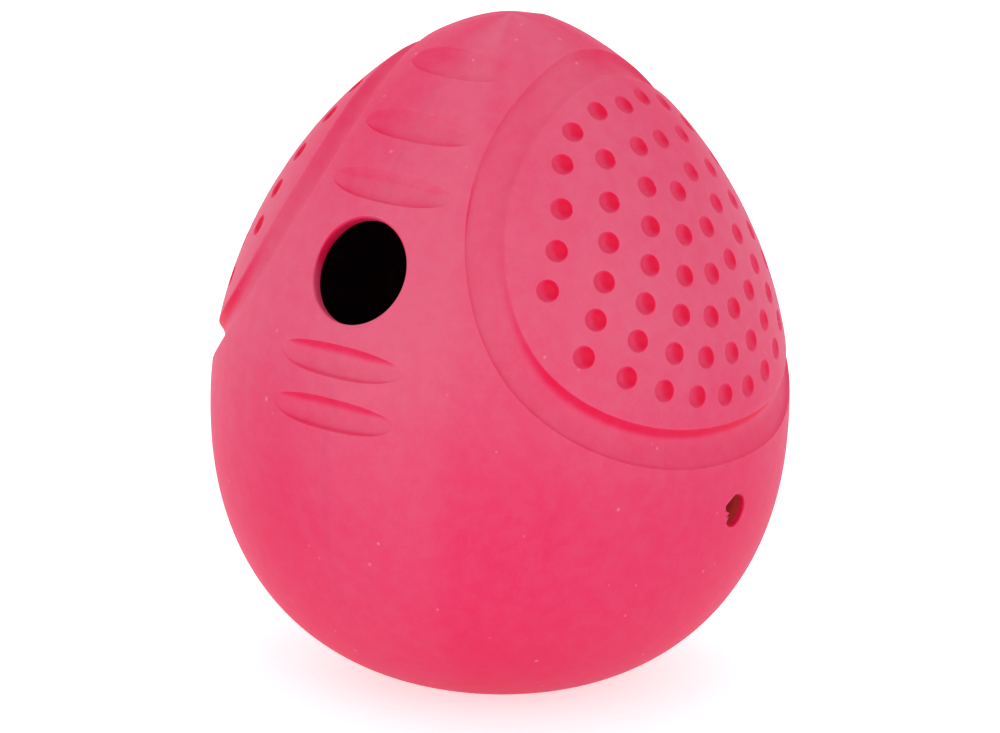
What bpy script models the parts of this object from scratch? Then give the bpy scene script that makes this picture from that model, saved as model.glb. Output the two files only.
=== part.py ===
"""A roly-poly treat egg: two bonded rubber half shells with a metal weight closed into the base.

Run it with: blender --background --python part.py
Lengths are in metres and +Z is up. The origin is the middle of the flat foot that the egg rests on.
The treat hole faces -Y, the ringed and dimpled panels face -X and +X, and the half shells meet on the
upright plane through the treat hole.
"""
import math

import bmesh
import bpy
from mathutils import Vector

# The egg's skin: a blunt lower end, a pointed crown, and a small flat foot
egg_height = 0.110
egg_radius = 0.047
belt_height = 0.0462
foot_cut = 0.001
crown_powers = (1.871, 1.617)
belly_powers = (2.275, 2.433)

# The moulding: wall, and the bonded joint between the two halves
wall = 0.0043
seam_gap = 0.0003

# The weight in the base, and the rubber below and above it
weight_radius = 0.020
weight_height = 0.008
weight_chamfer = 0.0008
weight_clearance = 0.0003
weight_floor = 0.004
weight_cover = 0.004

# The panel on each side, seen square to it: its edge, and the trough that runs round inside the edge
panel_side_inset = 0.00655
panel_crown_gap = 0.0042
panel_level = 0.0674
panel_bottom = 0.0452
panel_powers = (1.77, 2.38)
trough_width = 0.0062
trough_foot_width = 0.0078
trough_depth = 0.0015
# Across the trough from its outer edge: share of its width, share of its depth
trough_section_shares = ((0.0, 0.2), (0.27, 0.55), (0.52, 1.0), (0.65, 1.0), (0.84, 0.45), (1.0, 0.0))

# The pits on each panel: ring n round a pole near the panel's top has 6n places
dimple_pitch = 0.0061
dimple_radius = 0.0019
dimple_depth = 0.00125
dimple_draft = 0.0003
dimple_margin = 0.0098
dimple_pole_drop = 0.007
shoulder_dimple_reach = 0.0125
shoulder_dimple_drop = 0.0022

# The level grooves in the bands between the panels, each with an arched top edge and a flatter lower edge
groove_rise = 0.0026
groove_depth = 0.001
groove_tip = 0.0003
# Each groove: the level of its tips as a share of the egg's height, its half length as a share of the
# egg's radius, and how far its lower edge drops below the tips as a share of the groove's rise
groove_shares = ((0.940, 0.192, 0.22), (0.866, 0.221, 0.40), (0.793, 0.240, 0.58), (0.562, 0.247, 0.88),
                 (0.487, 0.247, 0.94))
# Along a groove from its middle to a tip: share of its half length, share of its rise, share of its drop
groove_plan_shares = ((0.0, 1.0, 1.0), (0.42, 0.91, 0.96), (0.75, 0.66, 0.76), (0.93, 0.37, 0.44), (1.0, 0.0, 0.0))
# Down a groove from its top edge to its lower edge: share of the way, share of its depth
groove_section_shares = ((0.0, 0.2), (0.3, 0.9), (0.9, 1.0), (1.0, 0.2))

# The treat hole in the front, and the air hole under the right panel
treat_hole_height = 0.0757
treat_hole_radius = 0.0087
treat_hole_lip = 0.0004
treat_hole_land = 0.0023
treat_hole_flare = 0.0063
vent_height = 0.0364
vent_radius = 0.0025

# How far a cutter stands proud of the skin, and the size of the steps that sample it
cut_overrun = 0.001
slope_step = egg_height / 2000.0
merge_distance = egg_height / 100000.0

# Facets
egg_segments = 64
crown_rows = 14
belly_rows = 9
chamber_segments = 40
chamber_crown_rows = 9
chamber_belly_rows = 6
weight_segments = 40
trough_stations = 44
edge_samples = 96
dimple_sides = 8
treat_hole_sides = 28
vent_sides = 12
skin_search_steps = 40
sharp_angle = math.radians(32.0)

# Finishes: colour, roughness, metallic
rubber_finish = ((0.79, 0.10, 0.20, 1.0), 0.55, 0.0)
weight_finish = ((0.30, 0.30, 0.31, 1.0), 0.5, 1.0)

# Sizes that follow from those above
belly_depth = belt_height + foot_cut
crown_height = egg_height - belt_height
weight_bottom = weight_floor + weight_clearance
chamber_floor = weight_bottom + weight_height + weight_clearance + weight_cover
panel_top = egg_height - panel_crown_gap
dimple_pole = panel_top - dimple_pole_drop
up = Vector((0.0, 0.0, 1.0))
front = Vector((0.0, -1.0, 0.0))
back = Vector((0.0, 1.0, 0.0))
right = Vector((1.0, 0.0, 0.0))
left = Vector((-1.0, 0.0, 0.0))


def egg_radius_at(height):
    """Radius of the skin at a height above the foot."""
    if height >= belt_height:
        rise, fullness = crown_powers
        share = (height - belt_height) / crown_height
    else:
        rise, fullness = belly_powers
        share = (belt_height - height) / belly_depth
    return egg_radius * max(0.0, 1.0 - share ** rise) ** (1.0 / fullness)


def egg_outline(crown_count, belly_count):
    """Points (radius, height) up the skin, from the foot's rim to the tip of the crown."""
    rise, fullness = belly_powers
    foot_turn = math.asin((belt_height / belly_depth) ** (rise / 2.0))
    outline = []
    for row in range(belly_count):
        turn = foot_turn * (belly_count - row) / belly_count
        height = belt_height - belly_depth * math.sin(turn) ** (2.0 / rise)
        outline.append((egg_radius * math.cos(turn) ** (2.0 / fullness), max(0.0, height)))
    rise, fullness = crown_powers
    for row in range(crown_count):
        turn = math.pi / 2.0 * row / crown_count
        height = belt_height + crown_height * math.sin(turn) ** (2.0 / rise)
        outline.append((egg_radius * math.cos(turn) ** (2.0 / fullness), height))
    outline.append((0.0, egg_height))
    return outline


def skin_normal(point):
    """Direction straight out of the skin at a point on it."""
    slope = egg_radius_at(point.z + slope_step) - egg_radius_at(point.z - slope_step)
    level = Vector((point.x, point.y, 0.0)).normalized()
    return Vector((level.x, level.y, -slope / (2.0 * slope_step))).normalized()


def meet_skin(inside, outside):
    """The point where a line from inside the egg to a point outside it goes through the skin."""
    near, far = 0.0, 1.0
    for _ in range(skin_search_steps):
        middle = (near + far) / 2.0
        point = inside.lerp(outside, middle)
        if math.hypot(point.x, point.y) < egg_radius_at(point.z):
            near = middle
        else:
            far = middle
    return inside.lerp(outside, near)


def skin_place(facing, across, height):
    """The point of the skin that shows at (across, height) to someone who looks square at one face."""
    sideways = up.cross(facing)
    inside = sideways * across + up * height
    return meet_skin(inside, inside + facing * (2.0 * egg_radius))


def lifted(point, distance):
    """A point moved straight out of the skin, or into the rubber where the distance is negative."""
    return point + skin_normal(point) * distance


def revolve(bm, outline, segments):
    """Turn an outline of (radius, height) points round the Z axis into a closed body."""
    chain = [bm.verts.new((radius, 0.0, height)) for radius, height in outline]
    edges = [bm.edges.new(pair) for pair in zip(chain, chain[1:])]
    bmesh.ops.spin(bm, geom=chain + edges, cent=Vector(), axis=up, angle=2.0 * math.pi,
                   steps=segments, use_merge=True)
    bmesh.ops.remove_doubles(bm, verts=bm.verts[:], dist=merge_distance)
    bmesh.ops.recalc_face_normals(bm, faces=bm.faces[:])


def trim(bm, point, outward):
    """Cut away all that lies beyond a plane, and close the cut."""
    geometry = bm.verts[:] + bm.edges[:] + bm.faces[:]
    cut = bmesh.ops.bisect_plane(bm, geom=geometry, dist=merge_distance, plane_co=point,
                                 plane_no=outward, clear_outer=True)
    rim = [item for item in cut["geom_cut"] if isinstance(item, bmesh.types.BMEdge)]
    bmesh.ops.edgeloop_fill(bm, edges=rim)
    bmesh.ops.recalc_face_normals(bm, faces=bm.faces[:])


def loft(bm, rings, joined_ends=False):
    """Skin a row of rings with equal numbers of points, closed by caps or joined end to end."""
    rows = [[bm.verts.new(point) for point in ring] for ring in rings]
    pairs = list(zip(rows, rows[1:]))
    if joined_ends:
        pairs.append((rows[-1], rows[0]))
    else:
        bm.faces.new(rows[0])
        bm.faces.new(rows[-1])
    for one, other in pairs:
        for index in range(len(one)):
            following = (index + 1) % len(one)
            bm.faces.new((one[index], one[following], other[following], other[index]))


def make_object(name, bm, finish=None):
    """Turn a bmesh into an object, shaded smooth up to its real corners."""
    mesh = bpy.data.meshes.new(name)
    bmesh.ops.recalc_face_normals(bm, faces=bm.faces[:])
    bm.to_mesh(mesh)
    bm.free()
    mesh.shade_smooth()
    mesh.set_sharp_from_angle(angle=sharp_angle)
    piece = bpy.data.objects.new(name, mesh)
    bpy.context.scene.collection.objects.link(piece)
    if finish:
        mesh.materials.append(make_material(name, *finish))
    return piece


def make_material(name, colour, roughness, metallic):
    """A plain material in the colour of the real finish."""
    material = bpy.data.materials.new(name)
    material.use_nodes = True
    shader = material.node_tree.nodes["Principled BSDF"]
    shader.inputs["Base Color"].default_value = colour
    shader.inputs["Roughness"].default_value = roughness
    shader.inputs["Metallic"].default_value = metallic
    return material


def make_cutter(name, bm):
    """A body that is taken away from a shell and isn't a piece of the egg."""
    cutter = make_object(name, bm)
    cutter.hide_render = True
    cutter.display_type = 'WIRE'
    return cutter


def cut_away(piece, cutter):
    """Take a cutter out of a piece."""
    boolean = piece.modifiers.new(cutter.name, 'BOOLEAN')
    boolean.operation = 'DIFFERENCE'
    boolean.solver = 'EXACT'
    boolean.object = cutter


def slug_outline(radius, low, high, chamfer):
    """Outline of a round slug with chamfered corners."""
    return [(0.0, low), (radius - chamfer, low), (radius, low + chamfer),
            (radius, high - chamfer), (radius - chamfer, high), (0.0, high)]


def panel_edge(turn):
    """(across, height) of the panel's edge at an angle round it, from its right side upwards."""
    cosine, sine = math.cos(turn), math.sin(turn)
    half_width = egg_radius_at(panel_level) - panel_side_inset
    half_height = panel_top - panel_level if sine >= 0.0 else panel_level - panel_bottom
    power = panel_powers[0] if sine >= 0.0 else panel_powers[1]
    across = math.copysign(half_width * abs(cosine) ** (2.0 / power), cosine)
    rise = math.copysign(half_height * abs(sine) ** (2.0 / power), sine)
    return across, panel_level + rise


def panel_edge_points(facing, count):
    """Points of the panel's edge on the skin."""
    return [skin_place(facing, *panel_edge(2.0 * math.pi * index / count)) for index in range(count)]


def trough_ring(edge, inward, width):
    """One cross-section of the trough's cutter, at a point of the panel's edge."""
    places = []
    for width_share, depth_share in trough_section_shares:
        # A step along the straight tangent is brought back to the round skin
        step = edge + inward * (width * width_share)
        square = skin_normal(edge) * wall
        places.append((meet_skin(step - square, step + square), depth_share))
    ring = [lifted(place, -trough_depth * depth_share) for place, depth_share in places]
    ring.append(lifted(places[-1][0], cut_overrun))
    ring.append(lifted(places[0][0], cut_overrun))
    return ring


def trough_cutter(name, facing):
    """The rounded trough that frames a panel: a section carried round the panel's edge."""
    points = panel_edge_points(facing, trough_stations)
    rings = []
    for index, edge in enumerate(points):
        along = points[(index + 1) % trough_stations] - points[index - 1]
        inward = skin_normal(edge).cross(along).normalized()
        if inward.dot(skin_place(facing, 0.0, panel_level) - edge) < 0.0:
            inward = -inward
        lowness = max(0.0, -math.sin(2.0 * math.pi * index / trough_stations)) ** 2
        rings.append(trough_ring(edge, inward, trough_width + (trough_foot_width - trough_width) * lowness))
    bm = bmesh.new()
    loft(bm, rings, joined_ends=True)
    return make_cutter(name, bm)


def dimple_places(facing):
    """Places of a panel's pits: the ring pattern's places that lie well inside the edge."""
    edge = panel_edge_points(facing, edge_samples)
    ring_count = math.ceil((dimple_pole - panel_bottom) / dimple_pitch)
    patterns = [(0.0, 0.0)]
    for ring in range(1, ring_count + 1):
        for place in range(6 * ring):
            turn = 2.0 * math.pi * (place + ring / 2.0) / (6 * ring)
            patterns.append((dimple_pitch * ring * math.sin(turn), -dimple_pitch * ring * math.cos(turn)))
    places = []
    for across, rise in patterns:
        height = dimple_pole + rise
        if abs(across) >= egg_radius_at(height):
            continue
        place = skin_place(facing, across, height)
        if is_on_panel(across, height) and min((point - place).length for point in edge) > dimple_margin:
            places.append(place)
    for across in (-shoulder_dimple_reach, shoulder_dimple_reach):
        places.append(skin_place(facing, across, dimple_pole - shoulder_dimple_drop))
    return places


def is_on_panel(across, height):
    """Whether a place lies within the panel's edge, seen square to it."""
    half_width = egg_radius_at(panel_level) - panel_side_inset
    half_height = panel_top - panel_level if height >= panel_level else panel_level - panel_bottom
    power = panel_powers[0] if height >= panel_level else panel_powers[1]
    return abs(across / half_width) ** power + abs((height - panel_level) / half_height) ** power < 1.0


def circle(centre, axis, radius, sides):
    """A ring of points round an axis."""
    sideways = axis.orthogonal().normalized()
    upwards = axis.cross(sideways).normalized()
    turns = [2.0 * math.pi * index / sides for index in range(sides)]
    return [centre + (sideways * math.cos(turn) + upwards * math.sin(turn)) * radius for turn in turns]


def dimple_cutter(name, facing):
    """All the round pits of one panel, each square to the skin."""
    bm = bmesh.new()
    for place in dimple_places(facing):
        axis = skin_normal(place)
        rim = circle(place + axis * cut_overrun, axis, dimple_radius, dimple_sides)
        floor = circle(place - axis * dimple_depth, axis, dimple_radius - dimple_draft, dimple_sides)
        loft(bm, [rim, floor])
    return make_cutter(name, bm)


def groove_cutter(name, facing):
    """The level grooves of one band, with floors that follow the skin."""
    bm = bmesh.new()
    plan = [(-along, rise, drop) for along, rise, drop in reversed(groove_plan_shares[1:])]
    plan += list(groove_plan_shares)
    for level_share, length_share, lowest_share in groove_shares:
        level = egg_height * level_share
        half_length = egg_radius * length_share
        rings = []
        for along_share, rise_share, drop_share in plan:
            across = half_length * along_share
            top = level + max(groove_tip, groove_rise * rise_share)
            low = level - max(groove_tip, groove_rise * lowest_share * drop_share)
            ring = [lifted(skin_place(facing, across, top), cut_overrun)]
            for way_share, depth_share in groove_section_shares:
                place = skin_place(facing, across, top + (low - top) * way_share)
                ring.append(lifted(place, -groove_depth * depth_share))
            ring.append(lifted(skin_place(facing, across, low), cut_overrun))
            rings.append(ring)
        loft(bm, rings)
    return make_cutter(name, bm)


def draped(points, axis, sink):
    """Points moved along an axis to lie at an even depth under the skin."""
    return [meet_skin(point - axis * wall, point + axis * wall) - axis * sink for point in points]


def bore_cutter(name, facing, height, radius, sides, lip=0.0, land=0.0, flare=0.0):
    """A bore square to the skin: a softened lip and a straight land that follow it, then a flare inside."""
    centre = skin_place(facing, 0.0, height)
    axis = skin_normal(centre)
    lip_ring = draped(circle(centre, axis, radius + lip, sides), axis, 0.0)
    rings = [[point + axis * cut_overrun for point in lip_ring]]
    if lip:
        rings.append(lip_ring)
        for sink_share, spread_share in lip_shares():
            rings.append(draped(circle(centre, axis, radius + lip * spread_share, sides), axis, lip * sink_share))
    if land:
        rings.append(draped(circle(centre, axis, radius, sides), axis, land))
    rings.append(circle(centre - axis * (2.0 * wall), axis, radius + flare, sides))
    bm = bmesh.new()
    loft(bm, rings)
    return make_cutter(name, bm)


def lip_shares():
    """The rounded lip's steps: share of its depth, and share of its spread still left."""
    turns = [math.pi / 2.0 * step / 3.0 for step in (1, 2, 3)]
    return [(1.0 - math.cos(turn), 1.0 - math.sin(turn)) for turn in turns]


def half_shell(name, facing, cutters):
    """One moulded half of the egg, on the side that it faces, with its share of every hollow."""
    bm = bmesh.new()
    revolve(bm, [(0.0, 0.0)] + egg_outline(crown_rows, belly_rows), egg_segments)
    trim(bm, facing * (seam_gap / 2.0), -facing)
    shell = make_object(name, bm, rubber_finish)
    for cutter in cutters:
        cut_away(shell, cutter)
    return shell


def chamber_cutter():
    """The hollow for the treats: the skin moved in by the wall, with a flat floor over the weight."""
    outline = [(0.0, 0.0)]
    for radius, height in egg_outline(chamber_crown_rows, chamber_belly_rows)[:-1]:
        inner = lifted(Vector((radius, 0.0, height)), -wall)
        outline.append((inner.x, inner.z))
    outline.append((0.0, egg_height - wall))
    bm = bmesh.new()
    revolve(bm, outline, chamber_segments)
    trim(bm, up * chamber_floor, -up)
    return make_cutter("chamber_cutter", bm)


def weight_pocket_cutter():
    """The pocket that the weight is closed into, half of it in each shell."""
    outline = slug_outline(weight_radius + weight_clearance, weight_floor,
                           weight_bottom + weight_height + weight_clearance, weight_chamfer)
    bm = bmesh.new()
    revolve(bm, outline, weight_segments)
    return make_cutter("weight_pocket_cutter", bm)


def base_weight():
    """The turned metal slug that rights the egg."""
    half_height = weight_height / 2.0
    bm = bmesh.new()
    revolve(bm, slug_outline(weight_radius, -half_height, half_height, weight_chamfer), weight_segments)
    weight = make_object("base_weight", bm, weight_finish)
    weight.location.z = weight_bottom + half_height
    return weight


def treat_egg():
    """The whole egg, carried by an empty at the middle of its foot."""
    shared = [chamber_cutter(), weight_pocket_cutter(), groove_cutter("front_groove_cutter", front),
              groove_cutter("back_groove_cutter", back),
              bore_cutter("treat_hole_cutter", front, treat_hole_height, treat_hole_radius, treat_hole_sides,
                          treat_hole_lip, treat_hole_land, treat_hole_flare)]
    vent = bore_cutter("vent_cutter", right, vent_height, vent_radius, vent_sides)
    left_cutters = [trough_cutter("left_trough_cutter", left), dimple_cutter("left_dimple_cutter", left)]
    right_cutters = [trough_cutter("right_trough_cutter", right), dimple_cutter("right_dimple_cutter", right)]
    pieces = [half_shell("left_shell", left, shared + left_cutters),
              half_shell("right_shell", right, shared + right_cutters + [vent]),
              base_weight()]
    egg = bpy.data.objects.new("treat_egg", None)
    bpy.context.scene.collection.objects.link(egg)
    for piece in pieces:
        piece.parent = egg


for leftover in list(bpy.data.objects):
    bpy.data.objects.remove(leftover)
treat_egg()
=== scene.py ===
# %% [markdown]
# # A rubber treat egg
#
# This lesson builds the look of a hollow rubber egg that drops treats as an animal rolls it. Its solids
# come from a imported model, so nothing here changes a size: the two rubber half shells are modelled
# again with fine edges, pits and soft hollows, and the metal weight in the base keeps its own mesh.

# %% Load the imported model
import math

import bpy
from mathutils import Matrix, Vector
from mathutils.bvhtree import BVHTree
from mathutils.kdtree import KDTree


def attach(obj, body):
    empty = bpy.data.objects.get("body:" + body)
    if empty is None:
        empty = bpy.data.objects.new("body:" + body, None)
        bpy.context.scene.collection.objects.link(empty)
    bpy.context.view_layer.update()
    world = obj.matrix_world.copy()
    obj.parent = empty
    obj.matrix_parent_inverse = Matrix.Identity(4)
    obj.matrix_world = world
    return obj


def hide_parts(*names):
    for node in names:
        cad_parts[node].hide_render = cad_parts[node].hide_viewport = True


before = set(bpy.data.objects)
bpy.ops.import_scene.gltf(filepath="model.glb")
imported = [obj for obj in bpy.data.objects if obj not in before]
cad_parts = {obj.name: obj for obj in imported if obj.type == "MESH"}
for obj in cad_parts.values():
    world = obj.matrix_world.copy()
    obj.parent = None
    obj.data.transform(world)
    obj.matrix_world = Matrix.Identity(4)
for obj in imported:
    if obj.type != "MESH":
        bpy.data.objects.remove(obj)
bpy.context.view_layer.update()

print("pieces in the packed model:", sorted(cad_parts))

# %% [markdown]
# ## The sizes
#
# All lengths are in metres. The egg's outline is two curves that meet at its widest level, the belt.
# Each one is a superellipse, which is a circle's equation with other powers than 2: that gives the
# blunt lower end and the pointed crown with six numbers. A foot is cut flat a millimetre up.

# %% The egg's sizes
MM = 0.001
egg_height, egg_radius = 110 * MM, 47 * MM
belt_height, foot_cut = 46.2 * MM, 1 * MM
crown_powers, belly_powers = (1.871, 1.617), (2.275, 2.433)
wall = 4.3 * MM
crown_height, belly_depth = egg_height - belt_height, belt_height + foot_cut
chamber_floor = 16.6 * MM
pocket_radius, pocket_low, pocket_high = 20.3 * MM, 4 * MM, 12.6 * MM
print("egg", egg_height / MM, "mm tall and", 2 * egg_radius / MM, "mm across")

# %% [markdown]
# ## The skin as a formula
#
# Everything moulded into the egg is measured from its skin, so the skin is kept as three functions: the
# radius at a height, the direction straight out at a point, and the point where a line meets the skin.
# The last one halves its search range until it is exact, which is simple and never fails.

# %% Functions of the skin


def egg_radius_at(height):
    """Radius of the skin at a height above the foot."""
    if height >= belt_height:
        share, (rise, fullness) = (height - belt_height) / crown_height, crown_powers
    else:
        share, (rise, fullness) = (belt_height - height) / belly_depth, belly_powers
    return egg_radius * max(0.0, 1 - share ** rise) ** (1 / fullness)


def skin_normal(point, step=0.05 * MM):
    """Direction straight out of the skin at a point on it."""
    slope = (egg_radius_at(point.z + step) - egg_radius_at(point.z - step)) / (2 * step)
    level = Vector((point.x, point.y, 0)).normalized()
    return Vector((level.x, level.y, -slope)).normalized()


def meet_skin(inside, outside, halvings=26):
    """The point where a line from inside the egg to a point outside it goes through the skin."""
    near, far = 0.0, 1.0
    for _ in range(halvings):
        middle = (near + far) / 2
        point = inside.lerp(outside, middle)
        if math.hypot(point.x, point.y) < egg_radius_at(point.z):
            near = middle
        else:
            far = middle
    return inside.lerp(outside, near)


def skin_place(facing, across, height):
    """The point of the skin at (across, height), seen square to one face of the egg."""
    inside = Vector((0, 0, 1)).cross(facing) * across + Vector((0, 0, height))
    return meet_skin(inside, inside + facing * 2 * egg_radius)


def lifted(point, distance):
    """A point of the skin moved straight out, or into the rubber where the distance is negative."""
    return point + skin_normal(point) * distance


front, back = Vector((0, -1, 0)), Vector((0, 1, 0))
left, right = Vector((-1, 0, 0)), Vector((1, 0, 0))
print("foot radius", round(egg_radius_at(0) / MM, 1), "mm")

# %% [markdown]
# ## The panels
#
# Each side of the egg has a pointed oval panel. Seen square to the side, its edge is again two
# superellipse halves that meet where the panel is widest. A second function turns the same equation
# round: it tells how far out towards the edge a place lies, as a share of the way.

# %% The panels' edge
panel_level, panel_top, panel_bottom, panel_side = 67.4 * MM, 105.8 * MM, 45.2 * MM, 6.55 * MM
panel_half_width = egg_radius_at(panel_level) - panel_side
panel_powers = (1.77, 2.38)


def panel_edge(turn):
    """(across, height) of the panel's edge at an angle round it."""
    cosine, sine = math.cos(turn), math.sin(turn)
    half_height = panel_top - panel_level if sine >= 0 else panel_level - panel_bottom
    power = panel_powers[0] if sine >= 0 else panel_powers[1]
    across = math.copysign(panel_half_width * abs(cosine) ** (2 / power), cosine)
    return across, panel_level + math.copysign(half_height * abs(sine) ** (2 / power), sine)


def panel_share(across, height):
    """0 at the panel's middle and 1 on its edge."""
    above = height >= panel_level
    half_height = panel_top - panel_level if above else panel_level - panel_bottom
    power = panel_powers[0] if above else panel_powers[1]
    total = abs(across / panel_half_width) ** power + abs((height - panel_level) / half_height) ** power
    return total ** (1 / power)


print("panel", round(2 * panel_half_width / MM, 1), "mm wide")

# %% [markdown]
# ## The egg's body
#
# A sphere made from rings has a pinched pole, which shows on smooth rubber. A cube that is divided
# finely and pressed to a sphere has none, and its faces are all about a millimetre across. Each of its
# points is then moved onto the egg's outline. The two halves of the real egg's mould met on the upright
# plane through the treat hole and left a low ridge behind the crown, so the points there are lifted a
# little: steeply on one side of the joint, and fading slowly on the other.

# %% The egg's body
body_cuts, chamber_cuts = 88, 24
foot_turn = math.asin((belt_height / belly_depth) ** (belly_powers[0] / 2))
# The ridge: its line, how far it reaches to the left and to the right of it, and its height there
ridge_line, ridge_left, ridge_right, ridge_height = 1.6 * MM, 1.5 * MM, 9.0 * MM, 0.40 * MM
# It starts this far behind the middle and this high, and is full after a rise of that length
ridge_start, ridge_fade, ridge_level, ridge_rise = 3 * MM, 3 * MM, 99 * MM, 7 * MM


def select_only(piece):
    """Make one piece active and the only one selected."""
    bpy.ops.object.select_all(action='DESELECT')
    piece.select_set(True)
    bpy.context.view_layer.objects.active = piece


def clamped(value):
    """A number held between 0 and 1."""
    return max(0.0, min(1.0, value))


def parting_ridge(point):
    """Height of the low ridge that the mould's joint left behind the crown, steeper on its left side."""
    across = point.x - ridge_line
    spread = ridge_right if across > 0 else ridge_left
    present = clamped((point.y - ridge_start) / ridge_fade) * clamped((point.z - ridge_level) / ridge_rise)
    return ridge_height * present * math.exp(-abs(across) / spread)


def egg_place(direction, inset=0.0):
    """Where a direction from the middle of a ball lands on the egg's skin, or that far below it."""
    turn = math.asin(max(-1.0, min(1.0, direction.z)))
    if turn >= 0:
        rise, fullness = crown_powers
        skin_turn = turn
        height = belt_height + crown_height * math.sin(skin_turn) ** (2 / rise)
    else:
        rise, fullness = belly_powers
        skin_turn = min(-turn, foot_turn)
        height = belt_height - belly_depth * math.sin(skin_turn) ** (2 / rise)
    radius = egg_radius * math.cos(skin_turn) ** (2 / fullness)
    # The points below the foot's edge are spread over the flat foot
    if turn < -foot_turn:
        radius *= math.cos(turn) / math.cos(foot_turn)
    level = Vector((direction.x, direction.y, 0))
    level = level.normalized() if level.length > 0 else Vector((0, 0, 0))
    point = level * radius + Vector((0, 0, max(0.0, height)))
    return lifted(point, -inset if inset else parting_ridge(point))


def add_ball(name, cuts):
    """A finely divided cube pressed to a ball of radius 1."""
    bpy.ops.object.select_all(action='DESELECT')
    bpy.ops.mesh.primitive_cube_add(size=2)
    ball = bpy.context.object
    ball.name = name
    bpy.ops.object.mode_set(mode='EDIT')
    bpy.ops.mesh.select_all(action='SELECT')
    bpy.ops.mesh.subdivide(number_cuts=cuts)
    bpy.ops.transform.tosphere(value=1)
    bpy.ops.object.mode_set(mode='OBJECT')
    return ball


egg = add_ball("egg", body_cuts)
for vertex in egg.data.vertices:
    vertex.co = egg_place(vertex.co.normalized())
print("body", len(egg.data.polygons), "faces,", [round(side / MM, 1) for side in egg.dimensions], "mm")

# %% [markdown]
# ## Cutting tools
#
# The hollows are cut with solid tools, as a mould's steel cores would leave them. A turned tool starts
# as a filled circle, and each further ring is that circle extruded up and scaled. A long tool starts as
# a torus or a grid whose points are then laid along the skin. A tool's rounded shoulder leaves the
# rounded lip that soft rubber has, so no edge needs a bevel afterwards. Circles are turned by half a
# side, because a point that lies exactly on the plane of the joint can spoil the cut there.

# %% Turned tools


def face_outwards(tool):
    """Turn all the faces of a closed tool outwards."""
    select_only(tool)
    bpy.ops.object.mode_set(mode='EDIT')
    bpy.ops.mesh.select_all(action='SELECT')
    bpy.ops.mesh.normals_make_consistent(inside=False)
    bpy.ops.object.mode_set(mode='OBJECT')


def turned_tool(name, profile, sides):
    """Extrude and scale a filled circle through (radius, height) pairs, from the bottom up."""
    bpy.ops.object.select_all(action='DESELECT')
    radius, height = profile[0]
    half_side = math.pi / sides
    bpy.ops.mesh.primitive_circle_add(vertices=sides, radius=radius, fill_type='NGON',
                                      location=(0, 0, height), rotation=(0, 0, half_side))
    tool = bpy.context.object
    tool.name = name
    bpy.ops.object.transform_apply(location=True, rotation=True)
    bpy.ops.object.mode_set(mode='EDIT')
    bpy.ops.mesh.select_all(action='SELECT')
    for next_radius, next_height in profile[1:]:
        rise = (0, 0, next_height - height)
        bpy.ops.mesh.extrude_region_move(TRANSFORM_OT_translate={"value": rise})
        growth = next_radius / radius
        bpy.ops.transform.resize(value=(growth, growth, 1), center_override=(0, 0, next_height))
        radius, height = next_radius, next_height
    bpy.ops.object.mode_set(mode='OBJECT')
    face_outwards(tool)
    return tool


def stand_on_skin(place, axis):
    """The placing of a turned tool whose own Z axis points out of the skin."""
    turn = Vector((0, 0, 1)).rotation_difference(axis)
    return Matrix.Translation(place) @ turn.to_matrix().to_4x4()


def drape(tool, place, axis):
    """Let a tool's rings follow the round skin instead of the flat plane that touches it."""
    for vertex in tool.data.vertices:
        height = (vertex.co - place).dot(axis)
        flat = vertex.co - axis * height
        vertex.co = meet_skin(flat - axis * wall, flat + axis * wall) + axis * height


def join_tools(name, tools):
    """Join tools that don't touch into one object."""
    bpy.ops.object.select_all(action='DESELECT')
    for tool in tools:
        tool.select_set(True)
    bpy.context.view_layer.objects.active = tools[0]
    bpy.ops.object.join()
    joined = bpy.context.object
    joined.name = name
    return joined


print("tools can be turned, stood on the skin, draped over it and joined")

# %% [markdown]
# ## The trough round each panel
#
# A torus is already a ring with a round section, so it is a good start: each of its sections is moved
# onto the panel's edge and given the trough's real section. From the outside in that is a crisp little
# step, a long slope down, a round bottom, and a steeper flank up to the panel. The ring is widest at
# the panel's foot.

# %% The trough tools
trough_stations = 200
trough_width, trough_foot_width, trough_depth = 6.2 * MM, 6.4 * MM, 1.5 * MM
# Share of the width in from the panel's edge, and share of the depth there at the sides and at the foot
trough_section = ((-0.030, -0.5, -0.5), (-0.022, -0.03, -0.03), (-0.010, 0.06, 0.04), (0.0, 0.22, 0.13),
                  (0.014, 0.38, 0.23), (0.034, 0.51, 0.32), (0.066, 0.60, 0.40), (0.11, 0.66, 0.48),
                  (0.17, 0.72, 0.58), (0.25, 0.79, 0.70), (0.33, 0.87, 0.82), (0.41, 0.94, 0.92),
                  (0.49, 0.985, 0.985), (0.56, 1.0, 1.0), (0.63, 0.98, 0.99), (0.70, 0.91, 0.94),
                  (0.76, 0.81, 0.86), (0.82, 0.67, 0.73), (0.87, 0.51, 0.57), (0.91, 0.36, 0.40),
                  (0.94, 0.23, 0.26), (0.965, 0.12, 0.13), (0.985, 0.05, 0.05), (1.01, 0.01, 0.01),
                  (1.035, -0.05, -0.05), (1.05, -0.6, -0.6))


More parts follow.
